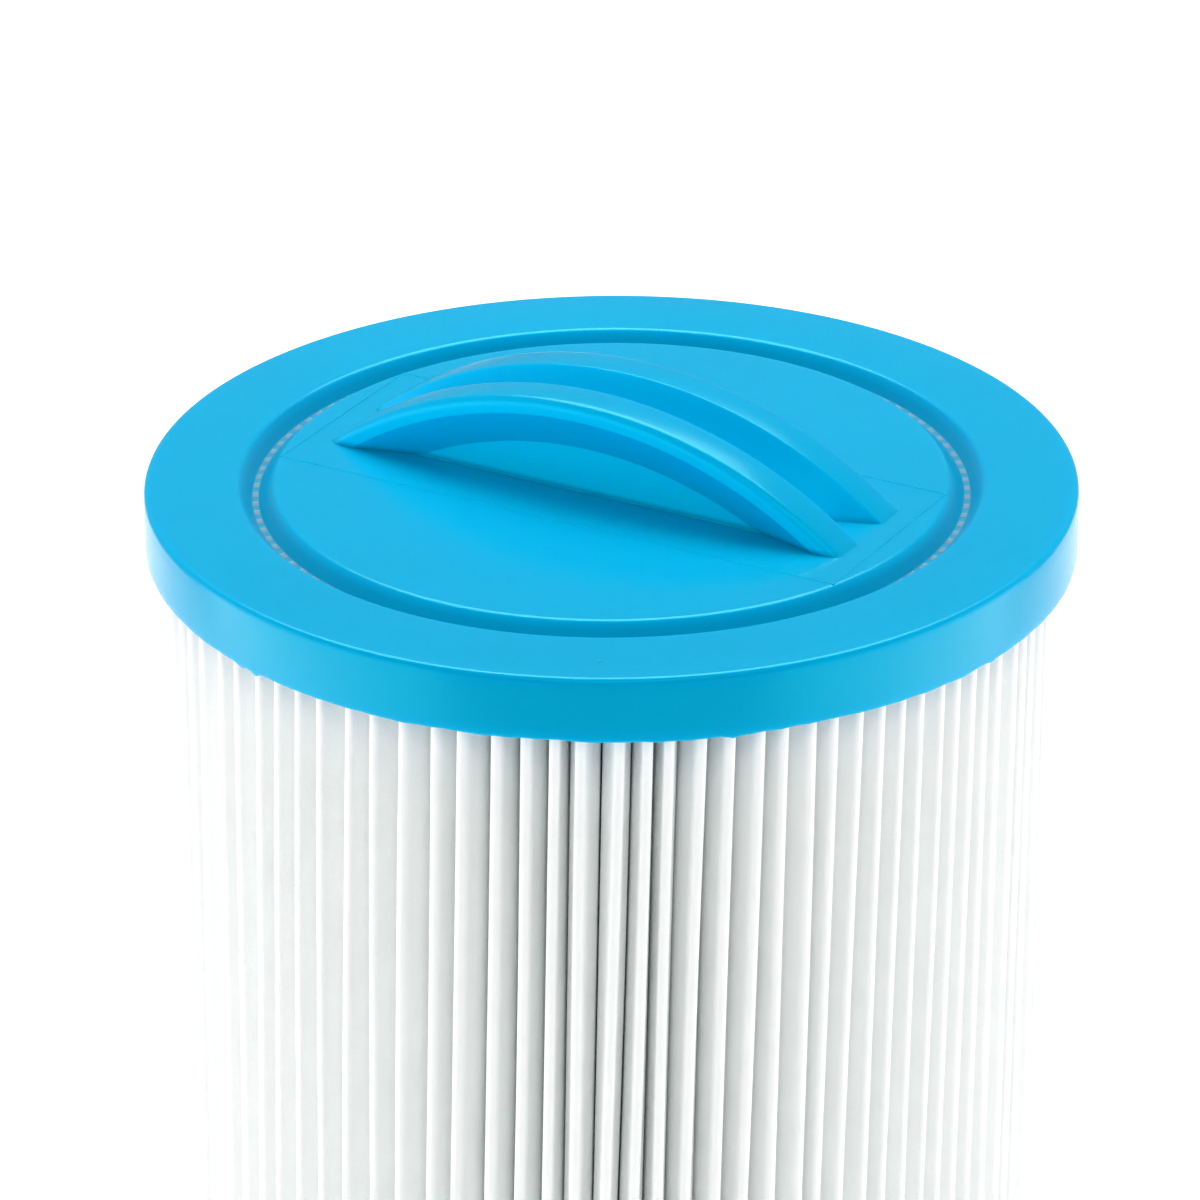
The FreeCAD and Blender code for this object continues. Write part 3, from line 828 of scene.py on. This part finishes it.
def mould_marks(handle, face):
    """Flash along the web's foot, and the line that the handle's mould insert left."""
    web = handle.width / 2 - handle.undercut
    reach = handle.span / 2 - 5 * MM
    marks = []
    for side in (-1, 1):
        corners = [(-reach, side * web), (reach, side * web)]
        marks.append(ridge("web_flash", corners, False, 0.5 * MM, 0.22 * MM, face))
    end = handle.span / 2 + 3.6 * MM
    wide = handle.width / 2 + 8.4 * MM
    corners = [(-end, -wide), (end, -wide), (end, wide), (-end, wide)]
    marks.append(ridge("insert_line", corners, True, 0.3 * MM, 0.09 * MM, face))
    return marks


def join_solids(made, tool):
    """Unite two closed meshes, and remove the second."""
    modified(made, "BOOLEAN", operation="UNION", solver="EXACT", object=tool)
    bpy.data.objects.remove(tool)


class CARTRIDGE_OT_top_cap(bpy.types.Operator):
    """Cast the top cap with its handle"""

    bl_idname = "cartridge.top_cap"
    bl_label = "Top End Cap"

    def execute(self, context):
        caps = context.scene.cartridge_caps
        handle = context.scene.cartridge_handle
        face = CAP_LOW.z + caps.thickness
        side = CAP_HIGH.x
        rings = [(side, face - caps.thickness * share, 0) for share in SIDE_RINGS]
        corners = [
            (0, face, 0),
            *groove_corners(caps, face, -1),
            (side, face, caps.edge_round),
            *rings,
            (side, CAP_LOW.z, caps.skirt_round),
            (CLOTH_HIGH.x - 2 * MM, CAP_LOW.z, 0),
            (0, CAP_LOW.z, 0),
        ]
        outline = [tuple(point) for point in rounded(corners)]
        cap = spun("top_cap", outline, caps.segments, skirt_shift(caps, face, -1, 3))
        join_solids(cap, build_handle(handle, face))
        for mark in mould_marks(handle, face):
            join_solids(cap, mark)
        smooth(cap, CAP_SHARP)
        pleats = context.scene.cartridge_pleats
        material = cap_material(context.scene.cartridge_finish, caps, pleats)
        finish_piece(cap, material, ["top_end_cap"])
        return {"FINISHED"}


class CARTRIDGE_OT_bottom_cap(bpy.types.Operator):
    """Cast the bottom cap around the outlet"""

    bl_idname = "cartridge.bottom_cap"
    bl_label = "Bottom End Cap"

    def execute(self, context):
        caps = context.scene.cartridge_caps
        outlet = context.scene.cartridge_outlet
        face = BASE_LOW.z
        side = BASE_HIGH.x
        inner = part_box("core_bottom_section")[1].x
        rings = [(side, face + caps.thickness * share, 0) for share in SIDE_RINGS]
        corners = [
            (outlet.collar, face, 0),
            *groove_corners(caps, face, 1),
            (side, face, caps.edge_round),
            *rings,
            (side, BASE_HIGH.z, caps.skirt_round),
            (CLOTH_HIGH.x - 2 * MM, BASE_HIGH.z, 0),
            (inner, BASE_HIGH.z, 0),
            (inner, face + RECESS, 0),
            (outlet.collar, face + RECESS, 0),
        ]
        outline = [tuple(point) for point in rounded(corners)]
        cap = spun("bottom_cap", outline, caps.segments, skirt_shift(caps, face, 1, 11))
        smooth(cap, CAP_SHARP)
        material = bpy.data.materials["cast_polyurethane"]
        finish_piece(cap, material, ["bottom_end_cap"])
        return {"FINISHED"}


# Core and outlet.


class CARTRIDGE_OT_inner_parts(bpy.types.Operator):
    """Finish the core and the outlet"""

    bl_idname = "cartridge.inner_parts"
    bl_label = "Core and Outlet"

    def execute(self, context):
        finish = context.scene.cartridge_finish
        core = moulded_material("moulded_core", finish.core, 0.42)
        outlet = moulded_material("moulded_outlet", finish.outlet, 0.3)
        paint = {
            "core_top_section": core,
            "core_middle_section": core,
            "core_bottom_section": core,
            "threaded_outlet": outlet,
        }
        for node, material in paint.items():
            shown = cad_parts[node]
            shown.data.materials.clear()
            shown.data.materials.append(material)
        return {"FINISHED"}


# Stage.

FLOOR_REACH = 8.0
PANEL_AZIMUTH = 71
PANEL_DISTANCE = 0.42
PANEL_HEIGHT = 0.16
PANEL_SIZE = (0.56, 0.36)


def camera_axes(stage):
    """Camera place and its right, up and forward directions."""
    top = Vector((0, 0, CAP_LOW.z + bpy.context.scene.cartridge_caps.thickness))
    turn = Matrix.Rotation(stage.azimuth, 3, "Z")
    away = Vector((0, -math.cos(stage.elevation), math.sin(stage.elevation)))
    place = top + turn @ (away * stage.distance)
    level = math.cos(stage.pitch)
    forward = turn @ Vector((math.sin(stage.yaw) * level, math.cos(stage.yaw) * level,
                             -math.sin(stage.pitch)))
    right = forward.cross(Vector((0, 0, 1))).normalized()
    up = right.cross(forward)
    tilt = Matrix.Rotation(-stage.roll, 3, forward)
    return place, tilt @ right, tilt @ up, forward


def add_camera(stage):
    """The camera, placed and turned by the stage's settings."""
    place, right, up, forward = camera_axes(stage)
    camera = bpy.data.cameras.new("camera")
    camera.lens = stage.lens
    camera.sensor_width = 36.0
    camera.clip_end = 50.0
    eye = bpy.data.objects.new("camera", camera)
    eye.matrix_world = Matrix((
        (right.x, up.x, -forward.x, place.x),
        (right.y, up.y, -forward.y, place.y),
        (right.z, up.z, -forward.z, place.z),
        (0, 0, 0, 1),
    ))
    bpy.context.scene.collection.objects.link(eye)
    return eye


def around(stage, azimuth):
    """Level direction at an azimuth counted from the camera's side."""
    about = stage.azimuth + math.radians(azimuth)
    return Vector((math.sin(about), -math.cos(about), 0))


def add_light(name, place, aim, size, power, spread=180):
    """A soft rectangular light at a place, facing along aim; spread is in degrees."""
    light = bpy.data.lights.new(name, "AREA")
    light.shape = "RECTANGLE"
    light.size, light.size_y = size
    light.energy = power
    light.spread = math.radians(spread)
    panel = bpy.data.objects.new(name, light)
    panel.location = place
    panel.rotation_mode = "QUATERNION"
    panel.rotation_quaternion = aim.to_track_quat("-Z", "Y")
    panel.visible_camera = False
    bpy.context.scene.collection.objects.link(panel)


def add_panel(name, stage, azimuth, power):
    """An upright panel that stands beside the cartridge."""
    away = around(stage, azimuth)
    place = away * PANEL_DISTANCE + Vector((0, 0, PANEL_HEIGHT))
    add_light(name, place, -away, PANEL_SIZE, power)


def add_overhead(stage):
    """A panel above and behind, which lights the floor there and the top of the cap."""
    behind = around(stage, 180)
    place = behind * 0.75 + Vector((0, 0, 1.5))
    aim = behind * 0.5 - place
    add_light("overhead", place, aim, (1.4, 1.0), 14, 100)


def add_fill(stage):
    """A weak panel over the camera, which reaches into the pleats."""
    place = around(stage, 0) * 0.9 + Vector((0, 0, 1.15))
    aim = Vector((0, 0, CAP_LOW.z)) - place
    add_light("fill", place, aim, (0.7, 0.5), 3.9)


def studio_floor(finish):
    """A pale floor under the outlet's tip."""
    half, ground = FLOOR_REACH, OUTLET_LOW.z
    corners = [(-half, -half, ground), (half, -half, ground), (half, half, ground),
               (-half, half, ground)]
    floor = new_object("studio_floor", corners, [(0, 1, 2, 3)])
    floor.data.materials.append(new_material("studio_floor", finish.floor, 0.7)[0])
    return floor


def studio_world():
    """Dim, even surroundings."""
    world = bpy.data.worlds.new("studio")
    world.use_nodes = True
    sky = world.node_tree.nodes["Background"]
    sky.inputs["Color"].default_value = (1.0, 1.0, 1.0, 1)
    sky.inputs["Strength"].default_value = 0.22
    return world


class CARTRIDGE_OT_stage(bpy.types.Operator):
    """Set up the floor, the lights and the camera"""

    bl_idname = "cartridge.stage"
    bl_label = "Stage"

    def execute(self, context):
        scene = context.scene
        stage = scene.cartridge_stage
        floor = studio_floor(scene.cartridge_finish)
        scene.world = studio_world()
        add_panel("left_panel", stage, -PANEL_AZIMUTH, 1.4)
        add_panel("right_panel", stage, PANEL_AZIMUTH, 1.34)
        add_overhead(stage)
        add_fill(stage)
        scene.view_settings.view_transform = "Standard"
        scene.cycles.max_bounces = 24
        scene.cycles.diffuse_bounces = 16
        scene.camera = add_camera(stage)
        return {"FINISHED"}


OPERATORS = (
    CARTRIDGE_OT_stage,
    CARTRIDGE_OT_pleats,
    CARTRIDGE_OT_top_cap,
    CARTRIDGE_OT_bottom_cap,
    CARTRIDGE_OT_inner_parts,
)


class CARTRIDGE_PT_panel(bpy.types.Panel):
    """Buttons that build the cartridge piece by piece"""

    bl_label = "Filter Cartridge"
    bl_idname = "CARTRIDGE_PT_panel"
    bl_space_type = "VIEW_3D"
    bl_region_type = "UI"
    bl_category = "Cartridge"

    def draw(self, context):
        for operator in OPERATORS:
            self.layout.operator(operator.bl_idname)


def register():
    for group in SETTINGS.values():
        bpy.utils.register_class(group)
    for name, group in SETTINGS.items():
        setattr(bpy.types.Scene, name, bpy.props.PointerProperty(type=group))
    for operator in OPERATORS:
        bpy.utils.register_class(operator)
    bpy.utils.register_class(CARTRIDGE_PT_panel)


def unregister():
    bpy.utils.unregister_class(CARTRIDGE_PT_panel)
    for operator in reversed(OPERATORS):
        bpy.utils.unregister_class(operator)
    for name in SETTINGS:
        delattr(bpy.types.Scene, name)
    for group in reversed(SETTINGS.values()):
        bpy.utils.unregister_class(group)


def main():
    """Build everything in order."""
    register()
    bpy.ops.cartridge.stage()
    bpy.ops.cartridge.pleats()
    bpy.ops.cartridge.top_cap()
    bpy.ops.cartridge.bottom_cap()
    bpy.ops.cartridge.inner_parts()


if __name__ == "__main__":
    main()
